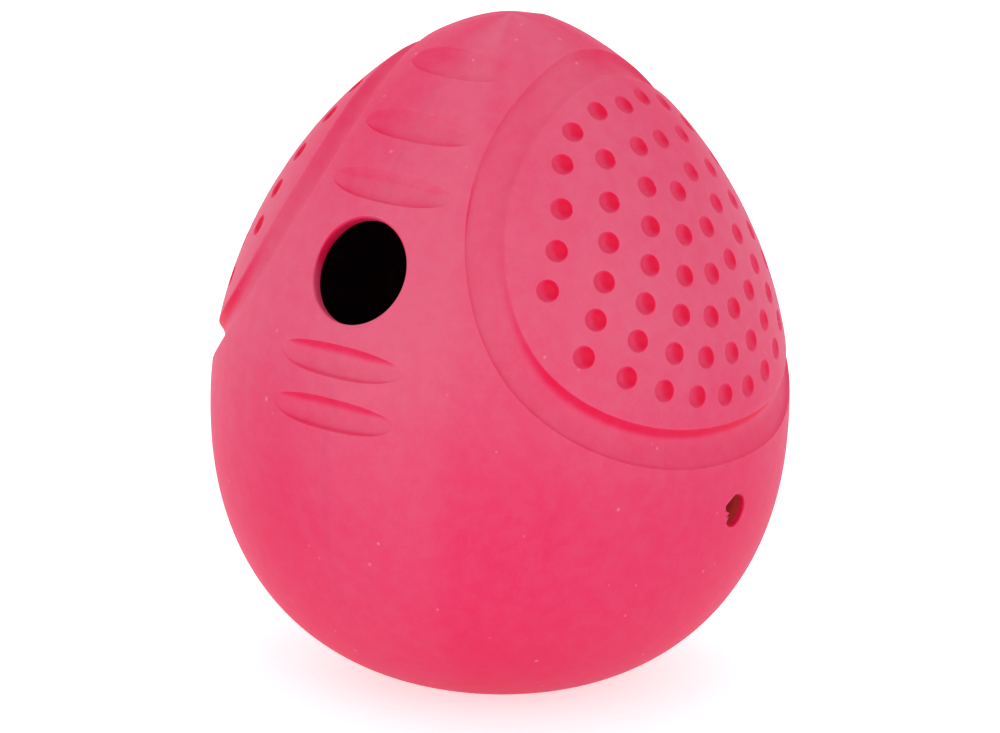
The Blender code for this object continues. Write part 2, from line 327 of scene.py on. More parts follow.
def trough_tool(name, facing):
    """A torus laid round one panel, with the trough's section."""
    bpy.ops.object.select_all(action='DESELECT')
    bpy.ops.mesh.primitive_torus_add(major_segments=trough_stations, minor_segments=len(trough_section))
    tool = bpy.context.object
    tool.name = name
    turns = [2 * math.pi * station / trough_stations for station in range(trough_stations)]
    edge = [skin_place(facing, *panel_edge(turn)) for turn in turns]
    middle = skin_place(facing, 0, panel_level)
    for station, turn in enumerate(turns):
        here = edge[station]
        square = skin_normal(here) * wall
        along = edge[(station + 1) % trough_stations] - edge[station - 1]
        inward = square.cross(along).normalized()
        if inward.dot(middle - here) < 0:
            inward.negate()
        at_foot = max(0.0, -math.sin(turn)) ** 2
        width = trough_width + (trough_foot_width - trough_width) * at_foot
        for corner, (width_share, side_share, foot_share) in enumerate(trough_section):
            depth_share = side_share + (foot_share - side_share) * at_foot
            step = here + inward * width * width_share
            place = meet_skin(step - square, step + square)
            point = lifted(place, -trough_depth * depth_share)
            tool.data.vertices[station * len(trough_section) + corner].co = point
    face_outwards(tool)
    return tool


troughs = {"left": trough_tool("left_trough_tool", left), "right": trough_tool("right_trough_tool", right)}
print("trough tool", len(troughs["left"].data.polygons), "faces")

# %% [markdown]
# ## The pits
#
# The pits follow a rule. Seen square to the panel they lie on rings round a pole near its top, about six
# millimetres apart, and ring n has 6n places. Only the places well inside the trough have a pit, and
# one more pit sits on each shoulder. One tool is turned and copied to every place, each copy square to
# the skin there.

# %% The pits' tools
pit_pitch, pit_pole, pit_margin, pit_rings = 6.1 * MM, 98.8 * MM, 9.8 * MM, 8
edge_samples, pit_sides = 96, 24
shoulder_pit = (12.5 * MM, 96.6 * MM)
# Radius and height above the skin, from the middle of the floor out over the lip
pit_profile = ((0.30 * MM, -1.34 * MM), (0.66 * MM, -1.26 * MM), (0.98 * MM, -1.11 * MM),
               (1.25 * MM, -0.90 * MM), (1.46 * MM, -0.66 * MM), (1.62 * MM, -0.40 * MM),
               (1.72 * MM, -0.19 * MM), (1.81 * MM, -0.07 * MM), (1.93 * MM, 0.0 * MM),
               (2.08 * MM, 0.05 * MM), (2.08 * MM, 1.2 * MM))


def pit_places(facing):
    """Every pit's place on one panel."""
    turns = [2 * math.pi * sample / edge_samples for sample in range(edge_samples)]
    edge = [skin_place(facing, *panel_edge(turn)) for turn in turns]
    pattern = [(0.0, 0.0)]
    for ring in range(1, pit_rings + 1):
        for place in range(6 * ring):
            turn = 2 * math.pi * (place + ring / 2) / (6 * ring)
            pattern.append((pit_pitch * ring * math.sin(turn), -pit_pitch * ring * math.cos(turn)))
    places = []
    for across, rise in pattern:
        height = pit_pole + rise
        if height >= egg_height or abs(across) >= egg_radius_at(height) or panel_share(across, height) >= 1:
            continue
        place = skin_place(facing, across, height)
        if min((point - place).length for point in edge) > pit_margin:
            places.append(place)
    across, height = shoulder_pit
    return places + [skin_place(facing, -across, height), skin_place(facing, across, height)]


def pit_tool(name, facing):
    """All the pits of one panel."""
    pattern = turned_tool("pit_pattern", pit_profile, pit_sides)
    tools = []
    for place in pit_places(facing):
        copy = pattern.copy()
        copy.data = pattern.data.copy()
        bpy.context.scene.collection.objects.link(copy)
        axis = skin_normal(place)
        copy.data.transform(stand_on_skin(place, axis))
        tools.append(copy)
    bpy.data.objects.remove(pattern)
    return join_tools(name, tools)


pits = {"left": pit_tool("left_pit_tool", left), "right": pit_tool("right_pit_tool", right)}
print("pits on each panel", len(pit_places(right)))

# %% [markdown]
# ## The grooves
#
# Three level grooves cross the front band above the treat hole and two below it, and the back band has
# the same five. Seen square to the band each is like a sleepy eye: an arched upper edge, a flatter lower
# one, and two tips at the same level. In section the rubber slopes in from the upper edge, runs along
# at an even depth, and comes out again over a short steep step. Towards its tips it grows shallow, over
# a longer way on the lower grooves. A fine grid is laid along the skin and pressed down to that section,
# and then extruded out past the skin to make a solid tool.

# %% The groove tools
groove_depth, groove_tip, groove_stations, tool_height = 1.1 * MM, 0.15 * MM, 42, 2 * MM
# Level of the tips, half length, rise of the upper edge, drop of the lower one, and how long a tip fades
grooves = ((103.4 * MM, 9.0 * MM, 2.6 * MM, 0.55 * MM, 4 * MM),
           (95.3 * MM, 10.4 * MM, 2.6 * MM, 1.0 * MM, 4 * MM),
           (87.2 * MM, 11.3 * MM, 2.6 * MM, 1.5 * MM, 5 * MM),
           (61.8 * MM, 11.6 * MM, 2.6 * MM, 2.3 * MM, 8 * MM),
           (53.6 * MM, 11.6 * MM, 2.5 * MM, 2.4 * MM, 8 * MM))
# Down a groove: share of its height from the upper edge, and share of its depth there
groove_section = ((-0.03, -0.12), (0.0, 0.0), (0.02, 0.11), (0.05, 0.24), (0.09, 0.38), (0.14, 0.53),
                  (0.19, 0.66), (0.25, 0.79), (0.31, 0.88), (0.38, 0.94), (0.46, 0.98), (0.56, 1.0),
                  (0.70, 1.0), (0.82, 0.99), (0.89, 0.94), (0.93, 0.80), (0.95, 0.58), (0.968, 0.32),
                  (0.985, 0.11), (1.0, 0.02), (1.03, -0.12))


def groove_edges(along, rise, drop):
    """How far the upper and the lower edge stand above the tips, at -1 to 1 along a groove."""
    upper = rise * math.sqrt(1 - along ** 2) + groove_tip
    lower = -drop * math.sqrt(1 - abs(along) ** 3) - groove_tip
    return upper, lower


def groove_tool(name, facing, level, half_length, rise, drop, fade):
    """One groove with an arched upper edge."""
    bpy.ops.object.select_all(action='DESELECT')
    bpy.ops.mesh.primitive_grid_add(x_subdivisions=groove_stations - 1,
                                    y_subdivisions=len(groove_section) - 1)
    tool = bpy.context.object
    tool.name = name
    for index, vertex in enumerate(tool.data.vertices):
        row, station = divmod(index, groove_stations)
        along = -math.cos(math.pi * station / (groove_stations - 1))
        upper, lower = groove_edges(along, rise, drop)
        height_share, depth_share = groove_section[row]
        place = skin_place(facing, half_length * along, level + upper + (lower - upper) * height_share)
        if depth_share > 0:
            ease = min(1.0, half_length * (1 - abs(along)) / fade)
            depth_share *= math.sin(ease * math.pi / 2)
        vertex.co = lifted(place, -groove_depth * depth_share)
    select_only(tool)
    bpy.ops.object.mode_set(mode='EDIT')
    bpy.ops.mesh.select_all(action='SELECT')
    bpy.ops.mesh.extrude_region_move(TRANSFORM_OT_translate={"value": (0, 0, 0)})
    bpy.ops.object.mode_set(mode='OBJECT')
    for vertex in tool.data.vertices:
        if vertex.select:
            vertex.co = lifted(vertex.co, tool_height)
    face_outwards(tool)
    return tool


band_tools = []
for facing, word in ((front, "front"), (back, "back")):
    tools = [groove_tool("groove", facing, *groove) for groove in grooves]
    band_tools.append(join_tools(word + "_groove_tool", tools))
print("grooves", 2 * len(grooves))

# %% [markdown]
# ## The treat hole and the air hole
#
# Both are turned tools, stood square to the skin and draped over it so that the lip is even all round.
# The air hole was punched through and tore on one side, which left ragged teeth of rubber. So the outer
# rings of its tool are pushed in or out to a torn outline, given as a radius for every few degrees.

# %% The hole tools
hole_height, vent_height, vent_radius = 75.7 * MM, 36.4 * MM, 2.4 * MM
# Radius and depth from the inside out: the flare into the chamber, the straight land, the small lip
hole_profile = ((16.3 * MM, -10.6 * MM), (16.3 * MM, -8.6 * MM), (10.5 * MM, -3.6 * MM),
                (9.2 * MM, -2.7 * MM), (8.78 * MM, -2.45 * MM), (8.62 * MM, -2.1 * MM),
                (8.6 * MM, -1.2 * MM), (8.6 * MM, -0.5 * MM), (8.63 * MM, -0.32 * MM),
                (8.71 * MM, -0.17 * MM), (8.83 * MM, -0.06 * MM), (9.0 * MM, 0.01 * MM),
                (9.2 * MM, 0.05 * MM), (9.2 * MM, 1.5 * MM))
vent_profile = ((2.3 * MM, -9 * MM), (2.3 * MM, -3 * MM), (vent_radius, -1.5 * MM),
                (vent_radius, -0.9 * MM), (vent_radius, -0.5 * MM), (vent_radius, -0.25 * MM),
                (2.46 * MM, -0.06 * MM), (2.6 * MM, 0.05 * MM), (2.6 * MM, 1.2 * MM))
hole_sides, vent_sides = 72, 90
# The tears reach this deep, and have closed to the plain bore at twice that depth
torn_depth = 1.1 * MM
# The torn outline: degrees round the air hole from its rear side, and its radius in millimetres there
torn_outline = ((0, 2.75), (20, 2.72), (40, 2.70), (61, 2.60), (81, 2.60), (94, 2.66), (108, 2.5), (125, 2.4),
                (140, 2.55), (151, 2.75), (162, 2.55), (174, 2.05), (184, 1.3), (190, 1.25), (198, 1.95),
                (204, 2.05), (210, 1.5), (215, 1.55), (222, 2.2), (231, 2.5), (250, 2.70), (270, 2.88),
                (292, 3.05), (310, 2.95), (330, 2.86), (344, 2.82), (360, 2.75))


def bore_tool(name, facing, height, profile, sides):
    """A bore square to the skin, with a lip that follows it."""
    place = skin_place(facing, 0, height)
    axis = skin_normal(place)
    tool = turned_tool(name, profile, sides)
    tool.data.transform(stand_on_skin(place, axis))
    drape(tool, place, axis)
    return tool


hole_place = skin_place(front, 0, hole_height)
hole_tool = bore_tool("treat_hole_tool", front, hole_height, hole_profile, hole_sides)
vent_tool = bore_tool("vent_tool", right, vent_height, vent_profile, vent_sides)


def torn_radius(turn):
    """Radius of the torn outline at an angle in degrees."""
    for (start, near), (end, far) in zip(torn_outline, torn_outline[1:]):
        if start <= turn <= end:
            return (near + (far - near) * (turn - start) / (end - start)) * MM
    return torn_outline[0][1] * MM


vent_place = skin_place(right, 0, vent_height)
vent_axis = skin_normal(vent_place)
vent_across = Vector((0, 1, 0))
vent_up = vent_axis.cross(vent_across)
for vertex in vent_tool.data.vertices:
    arm = vertex.co - vent_place
    depth = max(0.0, (vent_place - vertex.co).dot(vent_axis))
    torn = clamped(2 - depth / torn_depth)
    across, rise = arm.dot(vent_across), arm.dot(vent_up)
    turn = math.degrees(math.atan2(rise, across)) % 360
    growth = 1 + torn * (torn_radius(turn) / vent_radius - 1)
    vertex.co += (vent_across * across + vent_up * rise) * (growth - 1)
print("treat hole", len(hole_tool.data.polygons), "faces, air hole", len(vent_tool.data.polygons))

# %% [markdown]
# ## The hollow inside
#
# The chamber is the same ball again, laid one wall's thickness below the skin, with its lower end cut
# off flat above the weight. The weight's pocket is a plain turned tool.

# %% The chamber tools
pocket_sides = 48
chamber = add_ball("chamber_tool", chamber_cuts)
for vertex in chamber.data.vertices:
    point = egg_place(vertex.co.normalized(), wall)
    point.z = max(point.z, chamber_floor)
    vertex.co = point
pocket_profile = ((pocket_radius, pocket_low), (pocket_radius, pocket_high))
pocket = turned_tool("pocket_tool", pocket_profile, pocket_sides)
print("chamber", [round(side / MM, 1) for side in chamber.dimensions], "mm")

# %% [markdown]
# ## Cutting the halves
#
# Every tool is taken out of the whole egg with the Boolean modifier's exact solver. Only then is the egg
# parted on the plane of the joint: each half is what a block on its side keeps. Parting it last leaves
# both halves with the same edge, so no gap or step shows where they are bonded. Edges sharper than the
# crisp angle stay sharp, and all others are shaded smooth.

# %% Two half shells
crisp_angle = math.radians(40)


def cut(piece, tool, operation):
    """Take a tool out of a piece, or keep only what the tool covers."""
    select_only(piece)
    modifier = piece.modifiers.new(tool.name, 'BOOLEAN')
    modifier.operation, modifier.solver, modifier.object = operation, 'EXACT', tool
    bpy.ops.object.modifier_apply(modifier=modifier.name)
    bpy.data.objects.remove(tool)


def half_shell(name, facing):
    """One half of the finished egg."""
    shell = egg.copy()
    shell.data = egg.data.copy()
    shell.name = name
    bpy.context.scene.collection.objects.link(shell)
    bpy.ops.object.select_all(action='DESELECT')
    side = 2 * egg_height
    bpy.ops.mesh.primitive_cube_add(size=side, location=facing * side / 2)
    block = bpy.context.object
    bpy.ops.object.transform_apply(location=True)
    cut(shell, block, 'INTERSECT')
    select_only(shell)
    bpy.ops.object.shade_smooth_by_angle(angle=crisp_angle)
    print(name, len(shell.data.polygons), "faces")
    return shell


tools = [chamber, pocket, hole_tool] + band_tools + list(troughs.values()) + list(pits.values()) + [vent_tool]
for tool in tools:
    cut(egg, tool, 'DIFFERENCE')
whole_egg = BVHTree.FromPolygons([vertex.co for vertex in egg.data.vertices],
                                 [tuple(polygon.vertices) for polygon in egg.data.polygons])
left_skin, right_skin = half_shell("left_skin", left), half_shell("right_skin", right)
bpy.data.objects.remove(egg)

# %% [markdown]
# ## Marking hollows and faces that look down
#
# The rubber's colour gets a painted pale sheen where it lies open and faces up, and painted shade, a clean
# deep colour, inside pits, under ledges that look down and low on the belly. The material needs to know where
# that is. From every point a fan of short rays is sent out over the skin, and the share that hits rubber
# tells how hollow the place is.

# %% How hollow a place is
ray_count, ray_reach, ray_lift, far_loss = 28, 5 * MM, 0.04 * MM, 0.5


def ray_fan(count):
    """Directions over the hemisphere round +Z, closer together near its middle."""
    fan = []
    for index in range(count):
        slope = math.sqrt((index + 0.5) / count)
        turn = index * math.pi * (3 - math.sqrt(5))
        fan.append(Vector((slope * math.cos(turn), slope * math.sin(turn), math.sqrt(1 - slope * slope))))
    return fan


fan = ray_fan(ray_count)


def skin_depth(point):
    """How far a point lies under the smooth skin."""
    return (egg_radius_at(point.z) - math.hypot(point.x, point.y)) * math.hypot(*skin_normal(point).xy)


def hollowness(point, normal):
    """Share of the short rays from a point that hit the egg again, the far hits counting less."""
    turn = Vector((0, 0, 1)).rotation_difference(normal)
    start, hits = point + normal * ray_lift, 0.0
    for ray in fan:
        place, _, _, distance = whole_egg.ray_cast(start, turn @ ray, ray_reach)
        if place is not None:
            hits += 1 - far_loss * distance / ray_reach
    return hits / ray_count


print("rays in the fan:", len(fan))

# %% [markdown]
# ## Painted shade and painted light in the pits and bores
#
# The pits and bores get painted shade, which keeps the painted sheen out of them, except that a pit's front
# wall and floor get a little painted light.
# That takes two more numbers for each point. Both are found from how near the point is to the middle of
# a pit or of a hole, and a tree of all the pits' places finds the nearest one quickly.

# %% How much painted shade and painted light a place gets
# How far round their middles the pits, the air hole and the treat hole get painted shade
pit_reach, vent_reach, hole_reach = 2.0 * MM, 4 * MM, 12 * MM
# The treat hole's lip gets painted shade below this depth, growing over this much more of it, and no more
# than this
lip_depth, lip_fade, lip_shade_most = 0.15 * MM, 0.9 * MM, 0.45
# The painted light on a pit ends this far behind its middle, a little further on a pit nearer the back
pit_light_edge, pit_light_shift, pit_light_fade = 1.1 * MM, 0.02, 0.5 * MM
pit_middles = pit_places(left) + pit_places(right)
all_pits = KDTree(len(pit_middles))
for index, place in enumerate(pit_middles):
    all_pits.insert(place, index)
all_pits.balance()


def recess_shade_at(point, depth):
    """1 in the pits and the air hole, which get full painted shade, and less inside the treat hole's lip."""
    if all_pits.find(point)[2] < pit_reach or (point - vent_place).length < vent_reach:
        return 1.0
    if (point - hole_place).length < hole_reach:
        return max(0.0, min(lip_shade_most, (depth - lip_depth) / lip_fade))
    return 0.0


def pit_light_share(point):
    """1 on a pit's front wall and floor, which get painted light, and 0 on its back wall and elsewhere."""
    middle, _, away = all_pits.find(point)
    forward = middle.y - point.y + pit_light_edge + pit_light_shift * middle.y
    return clamped(0.5 + forward / pit_light_fade) if away < pit_reach else 0.0


print("pits on both panels:", len(pit_middles))

# %% [markdown]
# ## Storing the marks
#
# How far a point leans from the egg's own smooth skin is the last mark: it tells ledges from lips. Each
# mark is stored on the mesh as an attribute that a material can read, after it has been averaged with
# its neighbours'. At the joint each half's normals are first laid into the joint's plane, so that both
# halves get the same marks there and no line shows.

# %% Marks on the mesh
# Only points between these two depths under the smooth skin are marked
open_depth, inner_depth, seam_width = 0.03 * MM, 2.55 * MM, 0.01 * MM


def soften(mesh, values, rounds=2):
    """Average each marked point's number with its marked neighbours', so that no single point stands out."""
    pairs = [tuple(edge.vertices) for edge in mesh.edges if all(index in values for index in edge.vertices)]
    for _ in range(rounds):
        sums = {index: [2 * value, 2] for index, value in values.items()}
        for first, second in pairs:
            for index, other in ((first, second), (second, first)):
                sums[index][0] += values[other]
                sums[index][1] += 1
        values = {index: total / count for index, (total, count) in sums.items()}
    return values


def mark(skin):
    """Store how hollow each point is, how much painted shade and painted light it gets, and how it leans."""
    mesh = skin.data
    marks = {"hollow": {}, "lean": {}, "recess_shade": {}, "pit_light": {}}
    for vertex in mesh.vertices:
        point, normal, index = vertex.co, vertex.normal.copy(), vertex.index
        depth = skin_depth(point)
        if open_depth < depth < inner_depth:
            if abs(point.x) < seam_width:
                normal.x = 0
                normal.normalize()
            tilt = normal - skin_normal(point)
            marks["hollow"][index] = hollowness(point, normal)
            marks["lean"][index] = tilt.z
            marks["recess_shade"][index] = recess_shade_at(point, depth)
            marks["pit_light"][index] = pit_light_share(point)
    for title, values in marks.items():
        attribute = mesh.attributes.new(title, 'FLOAT', 'POINT')
        for index, value in soften(mesh, values).items():
            attribute.data[index].value = value
    print(skin.name, len(marks["hollow"]), "points marked")


for skin in (left_skin, right_skin):
    mark(skin)

# %% [markdown]
# ## Nodes in a few words
#
# A material is a tree of nodes. Four small helpers add the nodes that this egg needs most, so that a
# finish below reads as a recipe: a sum or product, a smooth change between two values, a blend of two
# colours, and fine relief.

# %% Helpers for nodes


def feed(tree, socket, value):
    """Link another node's output to a socket, or set the socket to a plain number or colour."""
    if hasattr(value, "is_output"):
        tree.links.new(value, socket)
    else:
        socket.default_value = value


def add_math(tree, operation, first, second=0.5, clamp=False):
    """A Math node whose inputs are sockets or plain numbers."""
    node = tree.nodes.new("ShaderNodeMath")
    node.operation, node.use_clamp = operation, clamp
    feed(tree, node.inputs[0], first)
    feed(tree, node.inputs[1], second)
    return node.outputs[0]


def rise_over(tree, value, low, high, start=0.0, end=1.0):
    """A smooth change from start to end while a value goes from low to high."""
    node = tree.nodes.new("ShaderNodeMapRange")
    node.interpolation_type = 'SMOOTHSTEP'
    for title, number in (("Value", value), ("From Min", low), ("From Max", high),
                          ("To Min", start), ("To Max", end)):
        feed(tree, node.inputs[title], number)
    return node.outputs["Result"]


def mix_colours(tree, factor, first, second):
    """A blend of two colours, each a socket or plain numbers."""
    node = tree.nodes.new("ShaderNodeMix")
    node.data_type = 'RGBA'
    # Inputs 6 and 7 and output 2 are the colour ones, since a Mix node has sockets of every kind
    for key, value in (("Factor", factor), (6, first), (7, second)):
        feed(tree, node.inputs[key], value)
    return node.outputs[2]


def add_bump(tree, shader, height, strength, distance):
    """Fine relief that only the light sees."""
    node = tree.nodes.new("ShaderNodeBump")
    for title, value in (("Strength", strength), ("Distance", distance), ("Height", height)):
        feed(tree, node.inputs[title], value)
    tree.links.new(node.outputs["Normal"], shader.inputs["Normal"])


node_helpers = (add_math, rise_over, mix_colours, add_bump)
print("node helpers:", [helper.__name__ for helper in node_helpers])

# %% [markdown]
# ## Effects that several finishes share
#
# Two effects are used by more than one material, so each is a node group with its own inputs. One
# makes soft uneven patches, the other fine grains. They give plain numbers between 0 and 1.

# %% Shared effects
finer_scale, finer_amount = 4.3, 0.6
# The sum of both noises stays mostly between these two values
patches_low, patches_high = 0.56, 1.04
smallest_speck = 0.4


def new_group(name, inputs, output):
    """A shader node group with named number or vector inputs and one number as its output."""
    group = bpy.data.node_groups.new(name, 'ShaderNodeTree')
    for title, kind, value in inputs:
        socket = group.interface.new_socket(name=title, in_out='INPUT', socket_type=kind)
        if value is not None:
            socket.default_value = value
    group.interface.new_socket(name=output, in_out='OUTPUT', socket_type='NodeSocketFloat')
    return group, group.nodes.new("NodeGroupInput").outputs, group.nodes.new("NodeGroupOutput").inputs


def patches_group():
    """Soft patches: two sizes of noise, spread evenly over 0 to 1."""
    inputs = (("Vector", 'NodeSocketVector', None), ("Scale", 'NodeSocketFloat', 100.0))
    group, given, result = new_group("uneven_patches", inputs, "Patches")
    coarse, fine = group.nodes.new("ShaderNodeTexNoise"), group.nodes.new("ShaderNodeTexNoise")
    coarse.inputs["Detail"].default_value, fine.inputs["Detail"].default_value = 3, 2
    finer = add_math(group, 'MULTIPLY', given["Scale"], finer_scale)
    for noise_node, scale in ((coarse, given["Scale"]), (fine, finer)):
        group.links.new(given["Vector"], noise_node.inputs["Vector"])
        group.links.new(scale, noise_node.inputs["Scale"])
    fainter = add_math(group, 'MULTIPLY', fine.outputs["Fac"], finer_amount)
    mixed = add_math(group, 'ADD', coarse.outputs["Fac"], fainter)
    group.links.new(rise_over(group, mixed, patches_low, patches_high), result["Patches"])
    return group


def specks_group():
    """Small round specks in a few cells of a Voronoi pattern."""
    inputs = (("Vector", 'NodeSocketVector', None), ("Scale", 'NodeSocketFloat', 500.0),
              ("Size", 'NodeSocketFloat', 0.16), ("Rarity", 'NodeSocketFloat', 0.9))
    group, given, result = new_group("specks", inputs, "Specks")
    cells = group.nodes.new("ShaderNodeTexVoronoi")
    group.links.new(given["Vector"], cells.inputs["Vector"])
    group.links.new(given["Scale"], cells.inputs["Scale"])
    split = group.nodes.new("ShaderNodeSeparateColor")
    group.links.new(cells.outputs["Color"], split.inputs["Color"])
    chosen = add_math(group, 'GREATER_THAN', split.outputs["Red"], given["Rarity"])
    own_size = add_math(group, 'ADD', split.outputs["Green"], smallest_speck)
    reach = add_math(group, 'MULTIPLY', given["Size"], own_size)
    near = rise_over(group, cells.outputs["Distance"], reach, 0)
    group.links.new(add_math(group, 'MULTIPLY', chosen, near), result["Specks"])
    return group


patches, specks = patches_group(), specks_group()
print("shared effects:", patches.name, specks.name)

# %% [markdown]
# ## The painted sheen on the rubber
#
# The outside is one deep pink under a painted pale sheen, so the finish is mostly a sum that tells how much
# painted sheen lies at a place. As painted light it grows with height. As painted shade it thins out on the
# far side of the crown and under the belly, and is lost in hollows and on ledges that look down. Two upright
# strips are painted highlights. The pits and bores get painted shade, but for painted light on the pits'
# front walls. Last, two sizes of patches make it uneven at random.

# %% How much painted sheen
# Each row is for rise_over: a value goes from the first number to the second, and the result with it
# from the third to the fourth
# Painted light and shade: the pale sheen grows with height where light falls from above, and thins as painted
# shade on the crown's far side and low on the belly.
bloom_with_height, belly_shade_with_height = (30 * MM, 74 * MM, 0.37, 0.84), (2 * MM, 24 * MM, 0.7, 1.0)
crown_with_height, crown_with_side = (76 * MM, 100 * MM, 0.0, 1.0), (0.35, 0.95, 0.46, 0.08)
upper_with_height = (78 * MM, 92 * MM, 0.0, 1.0)
# Painted shade: the sheen is lost in hollows and on ledges that look down, less so high up.
kept_with_hollow, upper_loss_with_hollow = (0.09, 0.34, 1.0, 0.28), (0.03, 0.22, 0.0, 0.6)
upper_ledge_with_lean, kept_with_lean = (-0.30, -0.06, 1.0, 0.0), (-0.58, -0.16, 0.0, 1.0)
sheen_with_recess_shade = (0.0, 1.0, 1.0, 0.0)
# The side with the most painted sheen on its crown, where the light falls, in radians round to the right from
# the front
painted_sheen_side = 0.87
# The painted highlight strips: where each starts, is full, fades and ends, in the same radians, and its
# amount
highlight_strips = ((-0.30, 0.12, 0.36, 0.52, 0.17), (0.75, 1.05, 1.25, 1.6, 0.08))
strip_low, strip_high, strip_low_share = 12 * MM, 40 * MM, 0.6
# Painted light on the pits' front walls and floors.
pit_light_amount = 0.62
# Scale and amount of the uneven patches
uneven_sizes = ((60, 0.07), (400, 0.13))


def place_group(tree, group, vector, **values):
    """Put a shared effect in a material with its own values."""
    node = tree.nodes.new("ShaderNodeGroup")
    node.node_tree = group
    tree.links.new(vector, node.inputs["Vector"])
    for title, value in values.items():
        node.inputs[title].default_value = value
    return node.outputs[0]


def read_mark(tree, title):
    """The number that mark() stored at each point."""
    node = tree.nodes.new("ShaderNodeAttribute")
    node.attribute_name = title
    return node.outputs["Fac"]


def kept_shares(tree, upper):
    """Share of the painted sheen kept where hollows get painted shade, and the share kept on ledges that look
    down, which get painted shade too.
    """
    lean, hollow = read_mark(tree, "lean"), read_mark(tree, "hollow")
    upper_loss = add_math(tree, 'MULTIPLY', upper, rise_over(tree, hollow, *upper_loss_with_hollow))
    in_hollows = add_math(tree, 'MULTIPLY', rise_over(tree, hollow, *kept_with_hollow),
                          add_math(tree, 'SUBTRACT', 1.0, upper_loss))
    upper_ledge = add_math(tree, 'MULTIPLY', upper, rise_over(tree, lean, *upper_ledge_with_lean))
    in_hollows = add_math(tree, 'MAXIMUM', in_hollows, upper_ledge)
    on_ledges = add_math(tree, 'MAXIMUM', rise_over(tree, lean, *kept_with_lean), upper)
    return in_hollows, on_ledges


def painted_sheen_on_rubber(tree, vector):
    """How much painted sheen lies at each place, from 0 to 1: painted light and shade, made uneven at random.
    """
    split = tree.nodes.new("ShaderNodeSeparateXYZ")
    tree.links.new(vector, split.inputs["Vector"])
    height = split.outputs["Z"]
    forward = add_math(tree, 'MULTIPLY', split.outputs["Y"], -1.0)
    turn = add_math(tree, 'ARCTAN2', split.outputs["X"], forward)
    side = add_math(tree, 'COSINE', add_math(tree, 'SUBTRACT', turn, painted_sheen_side))
    crown_loss = add_math(tree, 'MULTIPLY', rise_over(tree, height, *crown_with_height),
                          rise_over(tree, side, *crown_with_side))
    crown = add_math(tree, 'SUBTRACT', 1.0, crown_loss)
    # Painted shade in hollows and under ledges that look down.
    in_hollows, on_ledges = kept_shares(tree, rise_over(tree, height, *upper_with_height))
    # Painted light: paler higher up, where the light falls from above.
    bloom = rise_over(tree, height, *bloom_with_height)
    for share in (crown, in_hollows, on_ledges, rise_over(tree, height, *belly_shade_with_height)):
        bloom = add_math(tree, 'MULTIPLY', bloom, share)
    # Painted highlights: two upright strips, where the lamps' reflections fall, are made paler.
    for low, full, last, end, amount in highlight_strips:
        strip_highlight = add_math(tree, 'MULTIPLY', rise_over(tree, turn, low, full),
                        rise_over(tree, turn, last, end, 1.0, 0.0))
        amount_here = rise_over(tree, height, strip_low, strip_high, strip_low_share * amount, amount)
        bloom = add_math(tree, 'ADD', bloom, add_math(tree, 'MULTIPLY', strip_highlight, amount_here))
    # Painted shade: the pits and bores keep no sheen, so they show the deep colour.
    bloom = add_math(tree, 'MULTIPLY', bloom, rise_over(tree, read_mark(tree, "recess_shade"), *sheen_with_recess_shade))
    # Painted light: a pit's front wall and floor get back some pale sheen.
    bloom = add_math(tree, 'ADD', bloom, add_math(tree, 'MULTIPLY', read_mark(tree, "pit_light"), pit_light_amount))
    for scale, amount in uneven_sizes:
        change = add_math(tree, 'SUBTRACT', place_group(tree, patches, vector, Scale=scale), 0.5)
        bloom = add_math(tree, 'ADD', bloom, add_math(tree, 'MULTIPLY', change, amount), clamp=True)
    return bloom


print("bloom on open rubber: from", bloom_with_height[2], "low down to", bloom_with_height[3], "high up")

# %% [markdown]
# ## The rubber
#
# A colour ramp turns the amount of painted sheen into the rubber's colour, and a few pale specks lie on it. A
# little light goes through soft rubber, so the shader scatters some under the surface, and a fine grain
# breaks its gloss. Inside the shell the rubber is painted darker and plain as painted shade, and the air
# hole's bore below its torn lip is painted a deep red as painted shade.

# %% The rubber materials
# How much painted sheen, and the rubber's colour there: deep where none is painted, pale where most is
painted_sheen_colours = ((0.0, (0.86, 0.005, 0.068)), (0.15, (0.86, 0.014, 0.098)), (0.38, (0.86, 0.034, 0.138)),
                 (0.70, (0.85, 0.078, 0.185)), (1.0, (0.84, 0.125, 0.228)))
rubber_values = {"Roughness": 0.56, "IOR": 1.33, "Subsurface Weight": 0.25,
                 "Subsurface Radius": (1.0, 0.35, 0.4), "Subsurface Scale": 1.2 * MM}
speck_pink, speck_strength = (0.88, 0.40, 0.48, 1), 0.55
grain_scale, grain_detail, grain_strength, grain_height = 2600, 2, 0.12, 0.1 * MM
# Painted shade: the shell's inside is painted a dark red, though the rubber there is the same pink and only
# in shade.
inner_shade_red, inner_shade_red_pale = (0.12, 0.024, 0.045, 1), (0.17, 0.034, 0.060, 1)
# Painted shade: the air hole's bore below its lip is painted a deep red for its shadow.
vent_shade_red, vent_shade_red_pale = (0.48, 0.016, 0.016, 1), (0.60, 0.028, 0.030, 1)


def start_material(name, values):
    """A new material with plain values on its shader, and its tree, shader and Object coordinates."""
    material = bpy.data.materials.new(name)
    material.use_nodes = True
    tree = material.node_tree
    shader, coordinates = tree.nodes["Principled BSDF"], tree.nodes.new("ShaderNodeTexCoord")
    for title, value in values.items():
        shader.inputs[title].default_value = value
    return material, tree, shader, coordinates.outputs["Object"]


